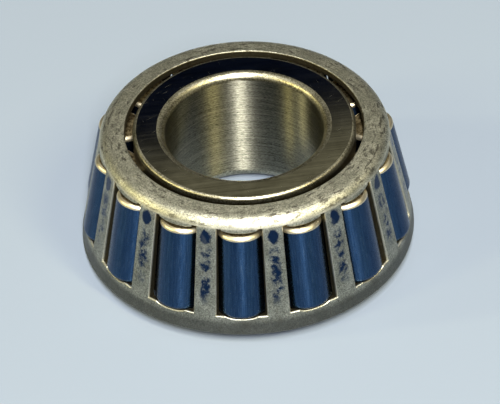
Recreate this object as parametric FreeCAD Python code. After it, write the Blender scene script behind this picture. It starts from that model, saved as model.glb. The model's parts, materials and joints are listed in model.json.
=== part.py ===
import FreeCAD, Part
import math
import os

# Cone assembly of a single-row tapered roller bearing: inner ring, stamped cage and a row of
# tapered rollers.  Millimetres and degrees.  Z is the bearing axis, z = 0 is the back face of the
# inner ring at the large end, and the rollers and the cage lean in towards an apex far up the axis.

# Inner ring
BORE_RADIUS = 9.525
RING_WIDTH = 16.637
BACK_BORE_ROUND = 1.70
FRONT_BORE_ROUND = 0.95
BACK_RIB_RADIUS = 15.70
BACK_RIB_ROUND = 0.60
FRONT_RIB_RADIUS = 13.35
FRONT_RIB_ROUND = 0.45
RIB_EDGE_ROUND = 0.20
RIB_WEAR_GAP = 0.03
UNDERCUT_WIDTH = 0.80
UNDERCUT_DEPTH = 0.25

# Rollers
ROLLER_COUNT = 14
FIRST_ROLLER_AZIMUTH = -93.66
OUTER_RACE_ANGLE = 11.60
ROLLER_HALF_TAPER = 1.734
ROLLER_LARGE_RADIUS = 3.05
ROLLER_LENGTH = 11.20
ROLLER_LARGE_ROUND = 0.80
ROLLER_SMALL_ROUND = 0.55
LARGE_FACE_HEIGHT = 3.11

# Cage
SHEET = 0.90
CAGE_BASE_RADIUS = 20.24
CAGE_BASE_HEIGHT = 1.38
CAGE_TOP_HEIGHT = 16.56
SHOULDER_RADIUS = 1.70
FLANGE_EDGE_RADIUS = 14.29
FLANGE_SLOPE = 5.50
SHEET_EDGE_ROUND = 0.18

# Cage pockets.  Heights are taken on the outer surface of the cage wall.
POCKET_LAND_HEIGHT = 3.78
POCKET_TOP_HEIGHT = 15.36
POCKET_HALF_ANGLE = 8.98
POCKET_INNER_BASE_HALF = 2.70
POCKET_INNER_TOP_HALF = 2.48
POCKET_CLEARANCE = 0.12
TONGUE_HEIGHT = 14.77
TONGUE_HALF_WIDTH = 2.10
TONGUE_RISE = 0.34
POCKET_EDGE_ROUND = 0.15
ROUNDED_EDGE_LENGTH = 1.00
SURFACE_TOLERANCE = 0.04

ORIGIN = FreeCAD.Vector(0, 0, 0)
AXIS_X = FreeCAD.Vector(1, 0, 0)
AXIS_Y = FreeCAD.Vector(0, 1, 0)
AXIS_Z = FreeCAD.Vector(0, 0, 1)

# Worked out: roller axis and inner race angles, and distances measured from the common apex.
ROLLER_TILT = OUTER_RACE_ANGLE - ROLLER_HALF_TAPER
INNER_RACE_ANGLE = ROLLER_TILT - ROLLER_HALF_TAPER
LARGE_FACE_DISTANCE = ROLLER_LARGE_RADIUS / math.tan(math.radians(ROLLER_HALF_TAPER))
SMALL_FACE_DISTANCE = LARGE_FACE_DISTANCE - ROLLER_LENGTH
APEX_HEIGHT = LARGE_FACE_HEIGHT + LARGE_FACE_DISTANCE * math.cos(math.radians(ROLLER_TILT))
PITCH = 360.0 / ROLLER_COUNT


def tangent(angle):
    return math.tan(math.radians(angle))


def direction(angle):
    """Unit vector (r, z) in the meridian plane, at an angle above the outward radius."""
    return (math.cos(math.radians(angle)), math.sin(math.radians(angle)))


def along(point, heading, distance):
    return (point[0] + heading[0] * distance, point[1] + heading[1] * distance)


def crossing(point_a, heading_a, point_b, heading_b):
    """Where two lines of the meridian plane meet."""
    gap = (point_b[0] - point_a[0], point_b[1] - point_a[1])
    turn = heading_a[0] * heading_b[1] - heading_a[1] * heading_b[0]
    distance = (gap[0] * heading_b[1] - gap[1] * heading_b[0]) / turn
    return along(point_a, heading_a, distance)


def outline(corners):
    """Closed wire in the XZ plane through (x, z, round) corners, with an arc at each round."""
    count = len(corners)
    entries = []
    exits = []
    middles = []
    for index, (x, z, radius) in enumerate(corners):
        corner = FreeCAD.Vector(x, 0, z)
        before = corners[index - 1]
        after = corners[(index + 1) % count]
        back = (FreeCAD.Vector(before[0], 0, before[1]) - corner).normalize()
        ahead = (FreeCAD.Vector(after[0], 0, after[1]) - corner).normalize()
        half_angle = back.getAngle(ahead) / 2.0
        reach = radius / math.tan(half_angle)
        entries.append(corner + back * reach)
        exits.append(corner + ahead * reach)
        bisector = back + ahead
        if radius > 0:
            depth = radius / math.sin(half_angle) - radius
            middles.append(corner + bisector.normalize() * depth)
        else:
            middles.append(corner)
    edges = []
    for index in range(count):
        if corners[index][2] > 0:
            edges.append(Part.Arc(entries[index], middles[index], exits[index]).toShape())
        edges.append(Part.makeLine(exits[index], entries[(index + 1) % count]))
    return Part.Wire(edges)


def turned(corners):
    """Solid of revolution about Z from a closed (r, z, round) outline."""
    return Part.Face(outline(corners)).revolve(ORIGIN, AXIS_Z, 360)


def race_point(distance, lift=0.0):
    """Point (r, z) of the inner race line, lifted off it outwards.

    The distance is the one of its foot on the roller axis from the apex.
    """
    down = direction(-90.0 + INNER_RACE_ANGLE)
    outward = direction(INNER_RACE_ANGLE)
    slant = distance / math.cos(math.radians(ROLLER_HALF_TAPER))
    return along(along((0.0, APEX_HEIGHT), down, slant), outward, lift)


def make_inner_ring():
    """Ring with a conical race between two ribs, whose faces lie square to the roller axis."""
    rib_heading = direction(ROLLER_TILT)
    race_heading = direction(-90.0 + INNER_RACE_ANGLE)
    back_start = race_point(LARGE_FACE_DISTANCE + RIB_WEAR_GAP)
    back_edge = crossing(back_start, rib_heading, (BACK_RIB_RADIUS, 0.0), direction(90.0))
    front_start = race_point(SMALL_FACE_DISTANCE - RIB_WEAR_GAP)
    front_edge = crossing(front_start, rib_heading, (FRONT_RIB_RADIUS, 0.0), direction(90.0))
    floor = race_point(LARGE_FACE_DISTANCE, -RIB_WEAR_GAP - UNDERCUT_DEPTH)
    back_floor = crossing(back_start, rib_heading, floor, race_heading)
    front_floor = crossing(front_start, rib_heading, floor, race_heading)
    back_race = race_point(LARGE_FACE_DISTANCE - UNDERCUT_WIDTH, -RIB_WEAR_GAP)
    back_groove = race_point(LARGE_FACE_DISTANCE - UNDERCUT_WIDTH + UNDERCUT_DEPTH,
                             -RIB_WEAR_GAP - UNDERCUT_DEPTH)
    front_race = race_point(SMALL_FACE_DISTANCE + UNDERCUT_WIDTH, -RIB_WEAR_GAP)
    front_groove = race_point(SMALL_FACE_DISTANCE + UNDERCUT_WIDTH - UNDERCUT_DEPTH,
                              -RIB_WEAR_GAP - UNDERCUT_DEPTH)
    return turned([
        (BORE_RADIUS, 0.0, BACK_BORE_ROUND),
        (BACK_RIB_RADIUS, 0.0, BACK_RIB_ROUND),
        back_edge + (RIB_EDGE_ROUND,),
        back_floor + (0.0,),
        back_groove + (0.0,),
        back_race + (0.0,),
        front_race + (0.0,),
        front_groove + (0.0,),
        front_floor + (0.0,),
        front_edge + (RIB_EDGE_ROUND,),
        (FRONT_RIB_RADIUS, RING_WIDTH, FRONT_RIB_ROUND),
        (BORE_RADIUS, RING_WIDTH, FRONT_BORE_ROUND),
    ])


def make_roller(gap=0.0):
    """Roller at azimuth 0, or the space that it needs when all its faces are moved out by gap."""
    large = LARGE_FACE_DISTANCE + gap
    small = SMALL_FACE_DISTANCE - gap
    taper = tangent(ROLLER_HALF_TAPER)
    body = turned([
        (0.0, -large, 0.0),
        (large * taper + gap, -large, ROLLER_LARGE_ROUND + gap),
        (small * taper + gap, -small, ROLLER_SMALL_ROUND + gap),
        (0.0, -small, 0.0),
    ])
    body.rotate(ORIGIN, AXIS_Y, -ROLLER_TILT)
    body.translate(AXIS_Z * APEX_HEIGHT)
    return body


def wall_radius(height):
    """Radius of the outer surface of the cage wall at a height."""
    return CAGE_BASE_RADIUS - (height - CAGE_BASE_HEIGHT) * tangent(OUTER_RACE_ANGLE)


def make_cage_shell():
    """Conical sheet-metal wall with a rounded shoulder and a flange turned in at the small end."""
    wall = direction(90.0 + OUTER_RACE_ANGLE)
    flange = direction(-FLANGE_SLOPE)
    wall_foot = (CAGE_BASE_RADIUS, CAGE_BASE_HEIGHT)
    flange_edge = (FLANGE_EDGE_RADIUS, CAGE_TOP_HEIGHT)
    shoulder = crossing(wall_foot, wall, flange_edge, flange)
    inner_foot = along(wall_foot, direction(180.0 + OUTER_RACE_ANGLE), SHEET)
    inner_edge = along(flange_edge, direction(-90.0 - FLANGE_SLOPE), SHEET)
    inner_shoulder = crossing(inner_foot, wall, inner_edge, flange)
    return turned([
        inner_foot + (SHEET_EDGE_ROUND,),
        wall_foot + (SHEET_EDGE_ROUND,),
        shoulder + (SHOULDER_RADIUS,),
        flange_edge + (SHEET_EDGE_ROUND,),
        inner_edge + (SHEET_EDGE_ROUND,),
        inner_shoulder + (SHOULDER_RADIUS - SHEET,),
    ])


def pocket_section(level, foot_half, top_half, foot, top):
    """Four-sided wire across a pocket, at a level above the wall's outer generator line."""
    corners = []
    for side, half, height in ((-1, foot_half, foot), (1, foot_half, foot),
                               (1, top_half, top), (-1, top_half, top)):
        corners.append(FreeCAD.Vector(level, side * half, height))
    return Part.makePolygon(corners + corners[:1])


def make_pocket_cutter():
    """Space of one pocket at azimuth 0, seen from a frame laid on the wall's generator line.

    In that frame X is square to the wall, Y is round the cage and Z runs up the wall.  The flanks
    close in towards the roller, and the upper end has a tongue between two corner notches.
    """
    slant = math.cos(math.radians(OUTER_RACE_ANGLE))
    foot = (POCKET_LAND_HEIGHT - CAGE_BASE_HEIGHT) / slant
    top = (POCKET_TOP_HEIGHT - CAGE_BASE_HEIGHT) / slant
    tongue = (TONGUE_HEIGHT - CAGE_BASE_HEIGHT) / slant
    levels = (-2.0 * SHEET, SHEET)
    halves = []
    for height, inner_half in ((POCKET_LAND_HEIGHT, POCKET_INNER_BASE_HALF),
                               (POCKET_TOP_HEIGHT, POCKET_INNER_TOP_HALF)):
        outer_radius = wall_radius(height)
        inner_radius = outer_radius - SHEET / slant
        outer_half = outer_radius * math.sin(math.radians(POCKET_HALF_ANGLE))
        outer_level = (math.sqrt(outer_radius ** 2 - outer_half ** 2) - outer_radius) * slant
        inner_level = (math.sqrt(inner_radius ** 2 - inner_half ** 2) - outer_radius) * slant
        flare = (outer_half - inner_half) / (outer_level - inner_level)
        halves.append([outer_half + flare * (level - outer_level) for level in levels])
    sections = []
    for index, level in enumerate(levels):
        sections.append(pocket_section(level, halves[0][index], halves[1][index], foot, top))
    space = Part.makeLoft(sections, True, True)
    arc_radius = (TONGUE_HALF_WIDTH ** 2 + TONGUE_RISE ** 2) / (2.0 * TONGUE_RISE)
    depth = levels[1] - levels[0]
    disc_centre = FreeCAD.Vector(levels[0], 0, tongue + arc_radius)
    disc = Part.makeCylinder(arc_radius, depth, disc_centre, AXIS_X)
    strip_corner = FreeCAD.Vector(levels[0], -TONGUE_HALF_WIDTH, tongue)
    strip = Part.makeBox(depth, 2.0 * TONGUE_HALF_WIDTH, arc_radius, strip_corner)
    space = space.cut(disc.common(strip))
    space.rotate(ORIGIN, AXIS_Y, -OUTER_RACE_ANGLE)
    space.translate(FreeCAD.Vector(CAGE_BASE_RADIUS, 0, CAGE_BASE_HEIGHT))
    return space


def place_at(shape, azimuth):
    copy = shape.copy()
    copy.rotate(ORIGIN, AXIS_Z, azimuth)
    return copy


def roller_azimuth(index):
    return FIRST_ROLLER_AZIMUTH + index * PITCH


def depth_in_wall(point):
    """How far a point lies below the outer surface of the cage wall."""
    radius = math.hypot(point.x, point.y)
    return (wall_radius(point.z) - radius) * math.cos(math.radians(OUTER_RACE_ANGLE))


def is_pocket_rim(edge):
    """True for a pocket's longer edges on the outer surface of the wall, which are rounded over."""
    if edge.Length < ROUNDED_EDGE_LENGTH or not isinstance(edge.Curve, Part.BSplineCurve):
        return False
    first, last = edge.ParameterRange
    for share in (0.0, 0.5, 1.0):
        point = edge.valueAt(first + share * (last - first))
        if not POCKET_LAND_HEIGHT - SHEET < point.z < POCKET_TOP_HEIGHT:
            return False
        if abs(depth_in_wall(point)) > SURFACE_TOLERANCE:
            return False
    return True


def make_cage():
    """Shell with one pocket for each roller, relieved where the roller bears on it."""
    cutters = []
    pocket = make_pocket_cutter()
    roller_space = make_roller(POCKET_CLEARANCE)
    for index in range(ROLLER_COUNT):
        cutters.append(place_at(pocket, roller_azimuth(index)))
        cutters.append(place_at(roller_space, roller_azimuth(index)))
    shell = place_at(make_cage_shell(), FIRST_ROLLER_AZIMUTH + PITCH / 2.0)
    cage = shell.cut(cutters).Solids[0]
    rims = [edge for edge in cage.Edges if is_pocket_rim(edge)]
    return cage.makeFillet(POCKET_EDGE_ROUND, rims)


def save(node, shape):
    """Write one node, and print its solids, volume and validity."""
    shape.exportStep("parts/" + node + ".step")
    print(node, "solids", len(shape.Solids), "volume", round(shape.Volume, 2), shape.isValid())


os.makedirs("parts", exist_ok=True)
save("inner_ring", make_inner_ring())
save("cage", make_cage())
roller = make_roller()
for number in range(ROLLER_COUNT):
    save("roller_%02d" % (number + 1), place_at(roller, roller_azimuth(number)))
print("apex height", round(APEX_HEIGHT, 3), "roller tilt", round(ROLLER_TILT, 3))
print("inner race angle", round(INNER_RACE_ANGLE, 3))
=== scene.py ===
import bpy
import json
import math
from mathutils import Matrix, Vector


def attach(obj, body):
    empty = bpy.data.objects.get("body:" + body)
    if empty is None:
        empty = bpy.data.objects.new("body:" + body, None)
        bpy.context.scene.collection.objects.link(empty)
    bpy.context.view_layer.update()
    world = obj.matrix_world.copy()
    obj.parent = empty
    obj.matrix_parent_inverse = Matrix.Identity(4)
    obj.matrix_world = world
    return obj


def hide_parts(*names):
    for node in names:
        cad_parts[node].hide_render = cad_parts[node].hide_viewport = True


# Tapered roller bearing, cone assembly: inner ring, stamped cage and fourteen rollers.
# Metres, in the CAD frame: +Z is the bearing axis and the ring stands on z = 0.

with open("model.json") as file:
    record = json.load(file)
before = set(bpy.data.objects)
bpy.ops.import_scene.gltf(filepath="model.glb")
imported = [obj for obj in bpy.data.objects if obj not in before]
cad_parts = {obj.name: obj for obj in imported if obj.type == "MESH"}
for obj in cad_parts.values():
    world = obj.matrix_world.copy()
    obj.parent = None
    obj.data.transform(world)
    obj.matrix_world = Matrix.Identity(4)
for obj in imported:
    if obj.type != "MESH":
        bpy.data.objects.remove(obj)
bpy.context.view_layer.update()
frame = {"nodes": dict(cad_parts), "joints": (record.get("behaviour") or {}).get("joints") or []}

MM = 0.001

# Parts of the object that the looks are laid out by, in millimetres and degrees.
ROLLER_COUNT = 14
PITCH = 360.0 / ROLLER_COUNT
FIRST_ROLLER_AZIMUTH = -93.66
ROLLER_LARGE_RADIUS = 3.05
ROLLER_LENGTH = 11.20
ROLLER_HALF_TAPER = 1.734
ROLLER_LARGE_ROUND = 0.80
ROLLER_SMALL_ROUND = 0.55
RING_WIDTH = 16.637
BORE_RADIUS = 9.525
CAGE_BASE_RADIUS = 20.24
CAGE_BASE_HEIGHT = 1.38
CAGE_WALL_ANGLE = 11.60
FLANGE_EDGE_RADIUS = 14.29
FLANGE_UNDERSIDE = (16.38, 16.15)
WALL_TOP = (15.7, 15.3)
FOOT_BAND = (3.6, 2.6)
SPOT_HEIGHT = 14.15
SPOT_HALF_WIDTH = 0.62
SPOT_HALF_HEIGHT = 0.90
WORN_BOTTOM = (4.6, 6.6)
WORN_TOP = (13.2, 12.0)
SHADE_BELOW_FACE = (0.45, 1.00)
OUTSIDE_OF_RING = (11.0, 11.5)
FLANGE_BEGINS = (14.6, 15.8)

# Finish: directions in degrees, scales in marks to a millimetre, and relief in metres.
GRINDING_ANGLE = 7.0
RING_CLOUD_SCALE = 0.35
FACE_RELIEF = 0.0000008
BORE_RELIEF = 0.000009
TURNED_RELIEF = 0.000010
SHEET_RELIEF = 0.000030
ROLLER_RELIEF = 0.00001

# Colours, linear.
FACE_STEEL = ((0.20, 0.19, 0.135), (0.58, 0.56, 0.45))
BORE_STEEL = ((0.022, 0.021, 0.013), (0.40, 0.39, 0.305))
TURNED_STEEL = ((0.11, 0.10, 0.058), (0.44, 0.42, 0.32))
SHEET_STEEL = ((0.24, 0.237, 0.195), (0.38, 0.37, 0.31))
FLANGE_PAINTED_LIGHT = (1.16, 1.18, 1.16)
WALL_PAINTED_SHADE = (0.78, 0.82, 0.86)
ROLLING_STEEL_PAINTED_REFLECTION = ((0.013, 0.037, 0.090), (0.030, 0.068, 0.144))
HAIR_LINE = (0.16, 0.23, 0.33)
SPECK = (0.015, 0.02, 0.03)
ROUND_STEEL = ((0.50, 0.43, 0.28), (0.76, 0.70, 0.54))
FLAT_END_STEEL = ((0.11, 0.08, 0.04), (0.42, 0.34, 0.19))
LIGHT_SCRATCH = (0.80, 0.78, 0.72)
RIB_PAINTED_SHADE = (0.060, 0.050, 0.028)
FLANGE_STAIN = (0.06, 0.055, 0.045)
FOOT_SHADE = (0.050, 0.053, 0.052)
DIRT = (0.07, 0.065, 0.055)
DARK_SCRATCH = (0.08, 0.075, 0.07)
BURNISHED_PAINTED_REFLECTION = (0.004, 0.020, 0.062)
POCKET_RIM_POLISH_AND_HIGHLIGHT = (0.62, 0.60, 0.50)
CUT_FACE_PAINTED_SHADE = (0.050, 0.040, 0.020)
FLOOR_PAPER = (0.150, 0.180, 0.228, 1.0)
DARK_ROOM = (0.003, 0.006, 0.020, 1.0)


# ---------------------------------------------------------------- shader helpers

class Graph:
    """A metal material whose nodes are made by short calls.  Lengths inside it are millimetres."""

    def __init__(self, name):
        self.material = bpy.data.materials.new(name)
        self.material.use_nodes = True
        self.tree = self.material.node_tree
        self.shader = self.tree.nodes["Principled BSDF"]
        self.shader.inputs["Metallic"].default_value = 1.0
        where = self.tree.nodes.new("ShaderNodeTexCoord")
        self.normal = where.outputs["Normal"]
        self.point = self.vector("MULTIPLY", where.outputs["Object"], (1000.0, 1000.0, 1000.0))
        self.x, self.y, self.z = self.split(self.point)
        self.radius = self.math("SQRT", self.math("ADD", self.math("MULTIPLY", self.x, self.x),
                                                  self.math("MULTIPLY", self.y, self.y)))

    def join(self, socket, value):
        """Links a socket, or sets the input's own value."""
        if isinstance(value, bpy.types.NodeSocket):
            self.tree.links.new(value, socket)
        else:
            socket.default_value = value

    def math(self, operation, first, second=0.0):
        node = self.tree.nodes.new("ShaderNodeMath")
        node.operation = operation
        for socket, value in zip(node.inputs, (first, second)):
            self.join(socket, value)
        return node.outputs[0]

    def vector(self, operation, first, second=(0.0, 0.0, 0.0)):
        node = self.tree.nodes.new("ShaderNodeVectorMath")
        node.operation = operation
        self.join(node.inputs[0], first)
        self.join(node.inputs[1], second)
        return node.outputs["Vector"]

    def split(self, vector):
        node = self.tree.nodes.new("ShaderNodeSeparateXYZ")
        self.join(node.inputs[0], vector)
        return node.outputs[0], node.outputs[1], node.outputs[2]

    def combine(self, x, y, z):
        node = self.tree.nodes.new("ShaderNodeCombineXYZ")
        for socket, value in zip(node.inputs, (x, y, z)):
            self.join(socket, value)
        return node.outputs[0]

    def noise(self, vector, scale, detail, roughness=0.5):
        node = self.tree.nodes.new("ShaderNodeTexNoise")
        self.join(node.inputs["Vector"], vector)
        self.join(node.inputs["Scale"], scale)
        self.join(node.inputs["Detail"], detail)
        self.join(node.inputs["Roughness"], roughness)
        return node.outputs[0]

    def step(self, value, low, high):
        """0 below low and 1 above high, or the other way round if low is above high."""
        node = self.tree.nodes.new("ShaderNodeMapRange")
        node.interpolation_type = "SMOOTHSTEP"
        self.join(node.inputs["Value"], value)
        if low < high:
            limits = (low, high, 0.0, 1.0)
        else:
            limits = (high, low, 1.0, 0.0)
        for name, limit in zip(("From Min", "From Max", "To Min", "To Max"), limits):
            self.join(node.inputs[name], limit)
        return node.outputs[0]

    def times(self, *values):
        result = values[0]
        for value in values[1:]:
            result = self.math("MULTIPLY", result, value)
        return result

    def mix(self, share, first, second):
        node = self.tree.nodes.new("ShaderNodeMix")
        node.data_type = "FLOAT"
        self.join(node.inputs[0], share)
        self.join(node.inputs[2], first)
        self.join(node.inputs[3], second)
        return node.outputs[0]

    def mix_colour(self, share, first, second):
        node = self.tree.nodes.new("ShaderNodeMix")
        node.data_type = "RGBA"
        self.join(node.inputs[0], share)
        for socket, colour in zip((node.inputs[6], node.inputs[7]), (first, second)):
            linked = isinstance(colour, bpy.types.NodeSocket)
            self.join(socket, colour if linked else (*colour, 1.0))
        return node.outputs[2]

    def flecks(self, angle, length, width, low, high, offset=0.0):
        """Thin marks that run at an angle in the XY plane: 1 on a mark and 0 elsewhere."""
        turn = self.tree.nodes.new("ShaderNodeMapping")
        turn.inputs["Rotation"].default_value = (0.0, 0.0, math.radians(-angle))
        turn.inputs["Location"].default_value = (offset, offset, 0.0)
        self.join(turn.inputs["Vector"], self.point)
        long_way = self.vector("MULTIPLY", turn.outputs[0], (1.0 / length, 1.0 / width, 1.0))
        return self.step(self.noise(long_way, 1.0, 1.0), low, high)

    def scaled(self, colour, factor):
        """A colour made lighter or darker."""
        return self.vector("MULTIPLY", colour, (factor, factor, factor))

    def radial_tangent(self):
        """Direction round the piece's own Z axis."""
        node = self.tree.nodes.new("ShaderNodeTangent")
        node.direction_type = "RADIAL"
        node.axis = "Z"
        return node.outputs[0]

    def bump(self, height, distance):
        """Height in 0 to 1, times a distance in metres."""
        node = self.tree.nodes.new("ShaderNodeBump")
        node.inputs["Strength"].default_value = 1.0
        node.inputs["Distance"].default_value = distance
        self.join(node.inputs["Height"], height)
        return node.outputs[0]

    def set(self, **values):
        for name, value in values.items():
            self.join(self.shader.inputs[name.replace("_", " ")], value)


# ---------------------------------------------------------------- materials

def make_face_steel():
    """Ground end face: long straight grinding lines that cross the face, and a few light scratches."""
    g = Graph("ring_face_steel")
    cloud = g.noise(g.point, RING_CLOUD_SCALE, 3.0, 0.6)
    turn = g.tree.nodes.new("ShaderNodeMapping")
    turn.inputs["Rotation"].default_value = (0.0, 0.0, math.radians(-GRINDING_ANGLE))
    g.join(turn.inputs["Vector"], g.point)
    coarse = g.noise(g.vector("MULTIPLY", turn.outputs[0], (0.10, 3.2, 1.0)), 1.0, 3.0, 0.6)
    fine = g.noise(g.vector("MULTIPLY", turn.outputs[0], (0.22, 13.0, 1.0)), 1.0, 2.0, 0.6)
    scratches = g.math("MAXIMUM", g.flecks(35.0, 2.6, 0.05, 0.74, 0.80),
                       g.flecks(112.0, 1.8, 0.05, 0.76, 0.81, 40.0))
    lines = g.mix(0.5, coarse, fine)
    tone = g.math("ADD", g.math("MULTIPLY", lines, 0.7), g.math("MULTIPLY", cloud, 0.3))
    colour = g.mix_colour(g.step(tone, 0.32, 0.68), *FACE_STEEL)
    colour = g.mix_colour(g.math("MULTIPLY", scratches, 0.5), colour, LIGHT_SCRATCH)
    roughness = g.math("ADD", 0.03, g.math("MULTIPLY", coarse, 0.06))
    height = g.math("SUBTRACT", lines, g.math("MULTIPLY", scratches, 0.6))
    angle = math.radians(GRINDING_ANGLE)
    g.set(Base_Color=colour, Roughness=g.mix(scratches, roughness, 0.3), Anisotropic=0.6,
          Tangent=g.combine(math.cos(angle), math.sin(angle), 0.0), Normal=g.bump(height, FACE_RELIEF))
    return g.material


def make_bore_steel():
    """Honed bore: circular lines, which draw each reflected light out along the bore."""
    g = Graph("ring_bore_steel")
    rings = g.noise(g.vector("MULTIPLY", g.point, (0.12, 0.12, 9.0)), 1.0, 3.0, 0.65)
    sparkle = g.noise(g.vector("MULTIPLY", g.point, (3.2, 3.2, 16.0)), 1.0, 3.0, 0.7)
    tone = g.math("ADD", g.math("MULTIPLY", sparkle, 0.6), g.math("MULTIPLY", rings, 0.4))
    colour = g.mix_colour(g.step(tone, 0.3, 0.7), *BORE_STEEL)
    roughness = g.math("ADD", 0.27, g.math("MULTIPLY", sparkle, 0.14))
    g.set(Base_Color=colour, Roughness=roughness, Anisotropic=1.0, Tangent=g.combine(0.0, 0.0, 1.0),
          Normal=g.bump(g.mix(0.7, rings, sparkle), BORE_RELIEF))
    return g.material


def make_turned_steel():
    """Rounded corners, ribs and race: satin, with faint circular turning lines, and painted shade below
    the small rib's round.
    """
    g = Graph("ring_turned_steel")
    cloud = g.noise(g.point, RING_CLOUD_SCALE, 3.0, 0.6)
    rings = g.noise(g.vector("MULTIPLY", g.point, (0.25, 0.25, 7.0)), 1.0, 3.0, 0.65)
    speckle = g.noise(g.point, 6.0, 3.0, 0.75)
    tone = g.math("ADD", g.math("MULTIPLY", speckle, 0.75), g.math("MULTIPLY", cloud, 0.25))
    colour = g.mix_colour(g.step(tone, 0.38, 0.60), *TURNED_STEEL)
    # painted shade: darker below the small rib's round, on the rib, race and large rib that lie under the
    # cage
    below_face = g.step(g.z, *[RING_WIDTH - drop for drop in SHADE_BELOW_FACE])
    rib_shade = g.times(below_face, g.step(g.radius, *OUTSIDE_OF_RING))
    colour = g.mix_colour(rib_shade, colour, RIB_PAINTED_SHADE)
    roughness = g.math("ADD", 0.30, g.math("MULTIPLY", speckle, 0.16))
    g.set(Base_Color=colour, Roughness=roughness, Anisotropic=0.3,
          Tangent=g.vector("CROSS_PRODUCT", (0.0, 0.0, 1.0), g.point),
          Normal=g.bump(g.mix(0.6, rings, speckle), TURNED_RELIEF))
    return g.material


def build_ring():
    """The CAD ring's own shape, with its face, its bore and its turned surfaces finished apart."""
    mesh = frame["nodes"]["inner_ring"].data.copy()
    mesh.name = "ground_ring"
    mesh.materials.clear()
    for material in (make_turned_steel(), make_face_steel(), make_bore_steel()):
        mesh.materials.append(material)
    for polygon in mesh.polygons:
        reach = Vector(polygon.center[:2]).length
        if abs(polygon.normal.z) > 0.999:
            polygon.material_index = 1
        elif reach < (BORE_RADIUS + 0.01) * MM:
            polygon.material_index = 2
        else:
            polygon.material_index = 0
    piece = bpy.data.objects.new("ground_ring", mesh)
    bpy.context.scene.collection.objects.link(piece)
    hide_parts("inner_ring")
    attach(piece, "inner_ring")


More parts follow.
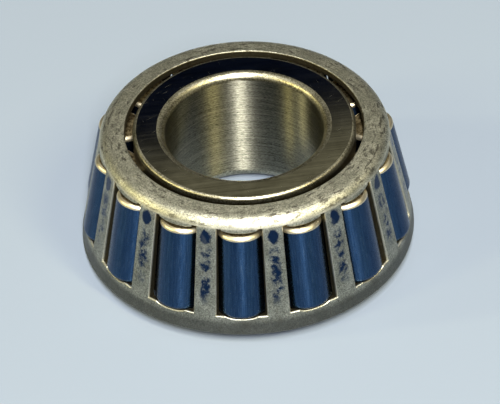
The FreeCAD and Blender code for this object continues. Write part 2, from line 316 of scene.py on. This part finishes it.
def make_cage_steel():
    """Pressed sheet steel: matt grey, with stains, pits and scratches. Burnished spots are painted dark
    blue as a reflection; the flange has painted light, the walls and the foot band painted shade, the
    pocket edges a painted highlight on their polish, and the cut faces painted shade.
    """
    g = Graph("cage_steel")
    azimuth = g.math("MULTIPLY", g.math("ARCTAN2", g.y, g.x), 180.0 / math.pi)
    pockets = g.math("DIVIDE", g.math("SUBTRACT", azimuth, FIRST_ROLLER_AZIMUTH), PITCH)
    share = g.math("SUBTRACT", g.math("FRACT", g.math("ADD", pockets, ROLLER_COUNT)), 0.5)
    across = g.times(share, math.radians(PITCH), g.radius)
    # how far a point lies below the outer surface of the wall, and the cut faces of the pockets, the
    # flange's underside and its inner edge, which are given painted shade
    slope = math.tan(math.radians(CAGE_WALL_ANGLE))
    foot_radius = CAGE_BASE_RADIUS + CAGE_BASE_HEIGHT * slope
    wall = g.math("SUBTRACT", foot_radius, g.math("MULTIPLY", g.z, slope))
    depth = g.math("SUBTRACT", wall, g.radius)
    below_flange = g.step(g.z, *WALL_TOP)
    cut = g.times(g.step(depth, 0.17, 0.34), below_flange)
    under = g.times(g.step(g.z, *FLANGE_UNDERSIDE), g.step(g.radius, 15.6, 15.2))
    flange_cut = g.step(g.radius, FLANGE_EDGE_RADIUS + 0.08, FLANGE_EDGE_RADIUS + 0.01)
    shaded_faces = g.math("MAXIMUM", g.math("MAXIMUM", cut, under), flange_cut)
    rim = g.times(g.step(depth, 0.012, 0.05), g.step(depth, 0.30, 0.18), below_flange)
    # surface of the sheet
    wobble = g.math("SUBTRACT", g.noise(g.point, 1.1, 3.0, 0.6), 0.5)
    grain = g.noise(g.point, 5.5, 4.0, 0.85)
    fine = g.noise(g.point, 14.0, 2.0, 0.7)
    cloud = g.noise(g.point, 0.45, 4.0, 0.6)
    # burnished oval at the top of each bar
    oval_u = g.math("DIVIDE", across, SPOT_HALF_WIDTH)
    oval_v = g.math("DIVIDE", g.math("SUBTRACT", g.z, SPOT_HEIGHT), SPOT_HALF_HEIGHT)
    oval = g.math("SQRT", g.math("ADD", g.times(oval_u, oval_u), g.times(oval_v, oval_v)))
    oval = g.step(g.math("ADD", oval, g.math("MULTIPLY", wobble, 1.5)), 1.20, 0.80)
    # worn patches down the middle of each bar
    aside = g.math("ADD", g.math("ABSOLUTE", across), g.math("MULTIPLY", wobble, 1.2))
    blotch = g.noise(g.point, 0.75, 5.0, 0.78)
    worn = g.times(g.step(aside, 0.85, 0.35), g.step(g.z, *WORN_BOTTOM), g.step(g.z, *WORN_TOP),
                   g.step(blotch, 0.44, 0.58))
    burnished = g.times(g.math("MAXIMUM", oval, worn), g.step(depth, 0.10, 0.04), below_flange)
    burnished = g.times(burnished, g.step(grain, 0.05, 0.42))
    # stains, pits and scratches
    stain = g.step(g.noise(g.vector("ADD", g.point, (31.0, 7.0, 3.0)), 0.55, 6.0, 0.8), 0.52, 0.68)
    pits = g.step(g.noise(g.point, 4.2, 2.0, 0.5), 0.66, 0.73)
    tiny = g.step(g.noise(g.point, 9.0, 1.0, 0.5), 0.66, 0.74)
    scratches = g.math("MAXIMUM", g.flecks(20.0, 1.5, 0.07, 0.72, 0.78, 11.0),
                       g.flecks(75.0, 1.2, 0.06, 0.72, 0.78, 5.0))
    scratches = g.math("MAXIMUM", scratches, g.flecks(140.0, 1.4, 0.07, 0.73, 0.78, 17.0))
    dirt = g.math("MAXIMUM", g.math("MULTIPLY", stain, 0.6), g.math("MAXIMUM", pits, tiny))
    colour = g.mix_colour(g.step(cloud, 0.3, 0.7), *SHEET_STEEL)
    # painted light and shade: the flange is made lighter and the walls darker and bluer than the same
    # sheet
    lit_flange_colour = g.vector("MULTIPLY", colour, FLANGE_PAINTED_LIGHT)
    shaded_wall_colour = g.vector("MULTIPLY", colour, WALL_PAINTED_SHADE)
    colour = g.mix_colour(g.step(g.z, *FLANGE_BEGINS), shaded_wall_colour, lit_flange_colour)
    colour = g.mix_colour(g.step(grain, 0.34, 0.66), g.scaled(colour, 0.44), g.scaled(colour, 1.50))
    dashes = g.noise(g.combine(g.math("MULTIPLY", azimuth, 0.22), g.math("MULTIPLY", g.radius, 2.6), 0.0),
                     1.0, 4.0, 0.7)
    dashes = g.times(g.step(dashes, 0.50, 0.60), g.step(g.z, 14.9, 15.6), g.step(cloud, 0.40, 0.54))
    foot = g.step(g.z, *FOOT_BAND)
    colour = g.mix_colour(g.math("MULTIPLY", dashes, 0.85), colour, FLANGE_STAIN)
    colour = g.mix_colour(g.math("MULTIPLY", foot, 0.75), colour, FOOT_SHADE)
    colour = g.mix_colour(g.math("MULTIPLY", dirt, 0.75), colour, DIRT)
    colour = g.mix_colour(g.math("MULTIPLY", scratches, 0.6), colour, DARK_SCRATCH)
    # painted reflection: the burnished spots, smoother from real wear, are coloured dark blue
    colour = g.mix_colour(g.math("MULTIPLY", burnished, 0.97), colour, BURNISHED_PAINTED_REFLECTION)
    # painted highlight: a lighter band on the polished pocket edges
    colour = g.mix_colour(g.math("MULTIPLY", rim, 0.55), colour, POCKET_RIM_POLISH_AND_HIGHLIGHT)
    # painted shade: the cut faces, the flange's underside and its inner edge are made dark
    colour = g.mix_colour(g.math("MULTIPLY", shaded_faces, 0.93), colour, CUT_FACE_PAINTED_SHADE)
    roughness = g.math("ADD", 0.40, g.math("MULTIPLY", fine, 0.18))
    roughness = g.mix(g.math("MULTIPLY", dirt, 0.6), roughness, 0.62)
    roughness = g.mix(burnished, roughness, 0.25)
    height = g.math("ADD", g.math("MULTIPLY", grain, 0.7), g.math("MULTIPLY", cloud, 0.6))
    height = g.math("SUBTRACT", height, g.math("MULTIPLY", g.math("MAXIMUM", pits, scratches), 0.7))
    g.set(Base_Color=colour, Roughness=roughness, Normal=g.bump(height, SHEET_RELIEF))
    return g.material


def roller_graph(name):
    """Roller steel, with noise coordinates of each roller's own."""
    g = Graph(name)
    info = g.tree.nodes.new("ShaderNodeObjectInfo")
    shift = g.math("MULTIPLY", info.outputs["Random"], 50.0)
    return g, g.vector("ADD", g.point, g.combine(shift, 0.0, shift))


def make_rolling_steel():
    """Polished rolling face: painted dark blue as a reflection, with hair lines along it and a few specks.
    """
    g, own = roller_graph("roller_face_steel")
    streaks = g.noise(g.vector("MULTIPLY", own, (5.0, 5.0, 0.14)), 1.0, 3.0, 0.65)
    hair = g.noise(g.vector("MULTIPLY", own, (16.0, 16.0, 0.45)), 1.0, 1.0, 0.5)
    grain = g.noise(g.vector("MULTIPLY", own, (6.0, 6.0, 12.0)), 1.0, 2.0, 0.6)
    specks = g.step(g.noise(own, 7.0, 1.0, 0.5), 0.73, 0.78)
    # painted reflection: the dark blue stands in for reflected surroundings
    colour = g.mix_colour(g.step(streaks, 0.25, 0.75), *ROLLING_STEEL_PAINTED_REFLECTION)
    colour = g.mix_colour(g.math("MULTIPLY", g.step(hair, 0.62, 0.72), 0.20), colour, HAIR_LINE)
    colour = g.mix_colour(g.math("MULTIPLY", specks, 0.7), colour, SPECK)
    roughness = g.math("ADD", 0.20, g.math("MULTIPLY", grain, 0.16))
    height = g.math("ADD", g.math("MULTIPLY", streaks, 0.10), g.math("MULTIPLY", grain, 0.06))
    g.set(Base_Color=colour, Roughness=roughness, Anisotropic=0.85, Anisotropic_Rotation=0.25,
          Tangent=g.radial_tangent(), Normal=g.bump(height, ROLLER_RELIEF))
    return g.material


def make_roller_end_steel():
    """Roller ends: satin on the round, and mottled golden brown where they were never ground."""
    g, own = roller_graph("roller_end_steel")
    mottle = g.noise(own, 2.6, 4.0, 0.7)
    cloud = g.noise(own, 0.9, 3.0, 0.6)
    flat = g.step(g.math("ABSOLUTE", g.split(g.normal)[2]), 0.93, 0.985)
    colour = g.mix_colour(cloud, *ROUND_STEEL)
    end_colour = g.mix_colour(g.step(mottle, 0.4, 0.6), *FLAT_END_STEEL)
    colour = g.mix_colour(flat, colour, end_colour)
    roughness = g.mix(flat, g.math("ADD", 0.34, g.math("MULTIPLY", cloud, 0.16)), 0.45)
    height = g.mix(flat, g.math("MULTIPLY", cloud, 0.3), g.math("MULTIPLY", mottle, 0.8))
    g.set(Base_Color=colour, Roughness=roughness, Normal=g.bump(height, ROLLER_RELIEF))
    return g.material


# ---------------------------------------------------------------- rollers

ROLLER_SEGMENTS = 128
ROUND_STEPS = 12


def roller_profile():
    """(radius, height) points from the centre of the large face to the centre of the small face.

    Each end has a round that is tangent to its flat face and to the cone.
    """
    taper = math.radians(ROLLER_HALF_TAPER)
    small_radius = ROLLER_LARGE_RADIUS - ROLLER_LENGTH * math.tan(taper)
    points = [(0.0, 0.0)]
    ends = ((ROLLER_LARGE_RADIUS, 0.0, ROLLER_LARGE_ROUND, -90.0, ROLLER_HALF_TAPER),
            (small_radius, ROLLER_LENGTH, ROLLER_SMALL_ROUND, ROLLER_HALF_TAPER, 90.0))
    for corner_radius, height, size, first, last in ends:
        inside = 1.0 if height == 0.0 else -1.0
        centre_height = height + inside * size
        centre_radius = corner_radius - size / math.cos(taper) - inside * size * math.tan(taper)
        for step in range(ROUND_STEPS + 1):
            angle = math.radians(first + (last - first) * step / ROUND_STEPS)
            points.append((centre_radius + size * math.cos(angle), centre_height + size * math.sin(angle)))
    points.append((0.0, ROLLER_LENGTH))
    return points


def make_roller_mesh(name, materials):
    """Turned roller along Z.  The rolling face and the large end's round take the first material, and the
    small end's round and both flat ends the second.
    """
    profile = roller_profile()
    vertices = []
    faces = []
    for radius, height in profile[1:-1]:
        for segment in range(ROLLER_SEGMENTS):
            angle = math.tau * segment / ROLLER_SEGMENTS
            vertices.append((radius * math.cos(angle) * MM, radius * math.sin(angle) * MM, height * MM))
    rings = len(profile) - 2
    for ring in range(rings - 1):
        for segment in range(ROLLER_SEGMENTS):
            after = (segment + 1) % ROLLER_SEGMENTS
            low = ring * ROLLER_SEGMENTS
            high = low + ROLLER_SEGMENTS
            faces.append((low + segment, low + after, high + after, high + segment))
    faces.append(tuple(reversed(range(ROLLER_SEGMENTS))))
    last = (rings - 1) * ROLLER_SEGMENTS
    faces.append(tuple(range(last, last + ROLLER_SEGMENTS)))
    mesh = bpy.data.meshes.new(name)
    mesh.from_pydata(vertices, [], faces)
    mesh.shade_smooth()
    for material in materials:
        mesh.materials.append(material)
    small_end = (ROUND_STEPS + 1) * ROLLER_SEGMENTS
    for polygon in mesh.polygons:
        polygon.material_index = int(polygon.index >= small_end)
    return mesh


def build_rollers(materials):
    """One polished roller for each CAD roller, on the axis of its own joint."""
    joints = {joint["name"]: joint for joint in frame["joints"]}
    for number in range(1, ROLLER_COUNT + 1):
        node = "roller_%02d" % number
        joint = joints[node + "_spin"]
        axis = Vector(joint["axis"]).normalized()
        base = Vector(joint["pos_m"])
        heights = [(vertex.co - base).dot(axis) for vertex in frame["nodes"][node].data.vertices]
        foot = base + axis * min(heights)
        piece = bpy.data.objects.new("polished_" + node, make_roller_mesh("polished_" + node, materials))
        bpy.context.scene.collection.objects.link(piece)
        piece.matrix_world = Matrix.Translation(foot) @ axis.to_track_quat("Z", "Y").to_matrix().to_4x4()
        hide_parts(node)
        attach(piece, joint["child"])


# ---------------------------------------------------------------- studio

def make_floor():
    bpy.ops.mesh.primitive_grid_add(x_subdivisions=8, y_subdivisions=8, size=4.0)
    floor = bpy.context.object
    floor.name = "floor"
    material = bpy.data.materials.new("floor_paper")
    material.use_nodes = True
    shader = material.node_tree.nodes["Principled BSDF"]
    shader.inputs["Base Color"].default_value = FLOOR_PAPER
    shader.inputs["Roughness"].default_value = 0.9
    shader.inputs["Specular IOR Level"].default_value = 0.2
    floor.data.materials.append(material)


# name, azimuth, elevation, distance, width, height, power, colour and twist of each panel
PANELS = (
    ("key", 5.0, 63.0, 0.85, 0.050, 0.66, 15.5, (1.0, 0.985, 0.95), 0.0),
    ("front_strip", 5.0, 46.0, 0.8, 0.022, 0.30, 9.5, (1.0, 0.98, 0.92), 0.0),
    ("right_panel", 48.0, 50.0, 0.9, 0.10, 0.35, 5.8, (1.0, 0.87, 0.42), 0.0),
    ("left_panel", -66.0, 32.0, 0.9, 0.06, 0.25, 2.6, (1.0, 0.87, 0.38), 0.0),
    ("far_left_panel", -88.0, 28.0, 0.9, 0.03, 0.20, 2.8, (1.0, 0.90, 0.50), 0.0),
    ("back_panel", 180.0, 56.0, 1.5, 1.6, 0.86, 0.36, (1.0, 0.94, 0.64), 9.5),
    ("upper_back_panel", 180.0, 56.7, 1.49, 1.6, 0.86, 0.62, (1.0, 0.94, 0.64), 9.5),
    ("low_back_panel", 180.0, 23.5, 1.5, 2.0, 0.66, 0.42, (1.0, 0.96, 0.82), 0.0),
)


def make_panel(name, azimuth, elevation, distance, width, height, power, colour, twist):
    """Soft panel that faces the object.  Azimuth is taken from the camera's side towards +X."""
    turn = math.radians(azimuth)
    rise = math.radians(elevation)
    place = Vector((math.sin(turn) * math.cos(rise), -math.cos(turn) * math.cos(rise), math.sin(rise)))
    light = bpy.data.lights.new(name, "AREA")
    light.shape = "RECTANGLE"
    light.size = width
    light.size_y = height
    light.energy = power
    light.color = colour
    lamp = bpy.data.objects.new(name, light)
    bpy.context.scene.collection.objects.link(lamp)
    facing = (-place).to_track_quat("-Z", "Y").to_matrix().to_4x4()
    target = Vector((0.0, 0.0, RING_WIDTH * MM))
    lamp.matrix_world = (Matrix.Translation(target + place * distance) @ facing
                         @ Matrix.Rotation(math.radians(twist), 4, "Z"))


def make_lights():
    for panel in PANELS:
        make_panel(*panel)
    world = bpy.data.worlds.new("studio")
    bpy.context.scene.world = world
    world.use_nodes = True
    background = world.node_tree.nodes["Background"]
    background.inputs["Color"].default_value = DARK_ROOM


# Camera in millimetres and degrees: from the front and above, a little rolled, with a long lens.
CAMERA_AIM = (0.309, 0.0, 4.488)
CAMERA_PLACE = (0.0, -321.2, 284.06)
CAMERA_LENS = 252.4
CAMERA_ROLL = -2.51


def make_camera():
    aim = Vector(CAMERA_AIM) * MM
    place = Vector(CAMERA_PLACE) * MM
    data = bpy.data.cameras.new("camera")
    data.sensor_width = 36.0
    data.lens = CAMERA_LENS
    data.clip_start = 0.01
    camera = bpy.data.objects.new("camera", data)
    bpy.context.scene.collection.objects.link(camera)
    facing = (aim - place).to_track_quat("-Z", "Y").to_matrix()
    roll = Matrix.Rotation(math.radians(CAMERA_ROLL), 3, "Z")
    camera.matrix_world = Matrix.Translation(place) @ (facing @ roll).to_4x4()
    bpy.context.scene.camera = camera


def dress(node, material):
    """Gives a CAD node its finish, with its shape left as it is."""
    mesh = frame["nodes"][node].data
    for slot in range(len(mesh.materials)):
        mesh.materials[slot] = material


build_ring()
dress("cage", make_cage_steel())
build_rollers((make_rolling_steel(), make_roller_end_steel()))
make_floor()
make_lights()
make_camera()
bpy.context.scene.view_settings.view_transform = "Standard"
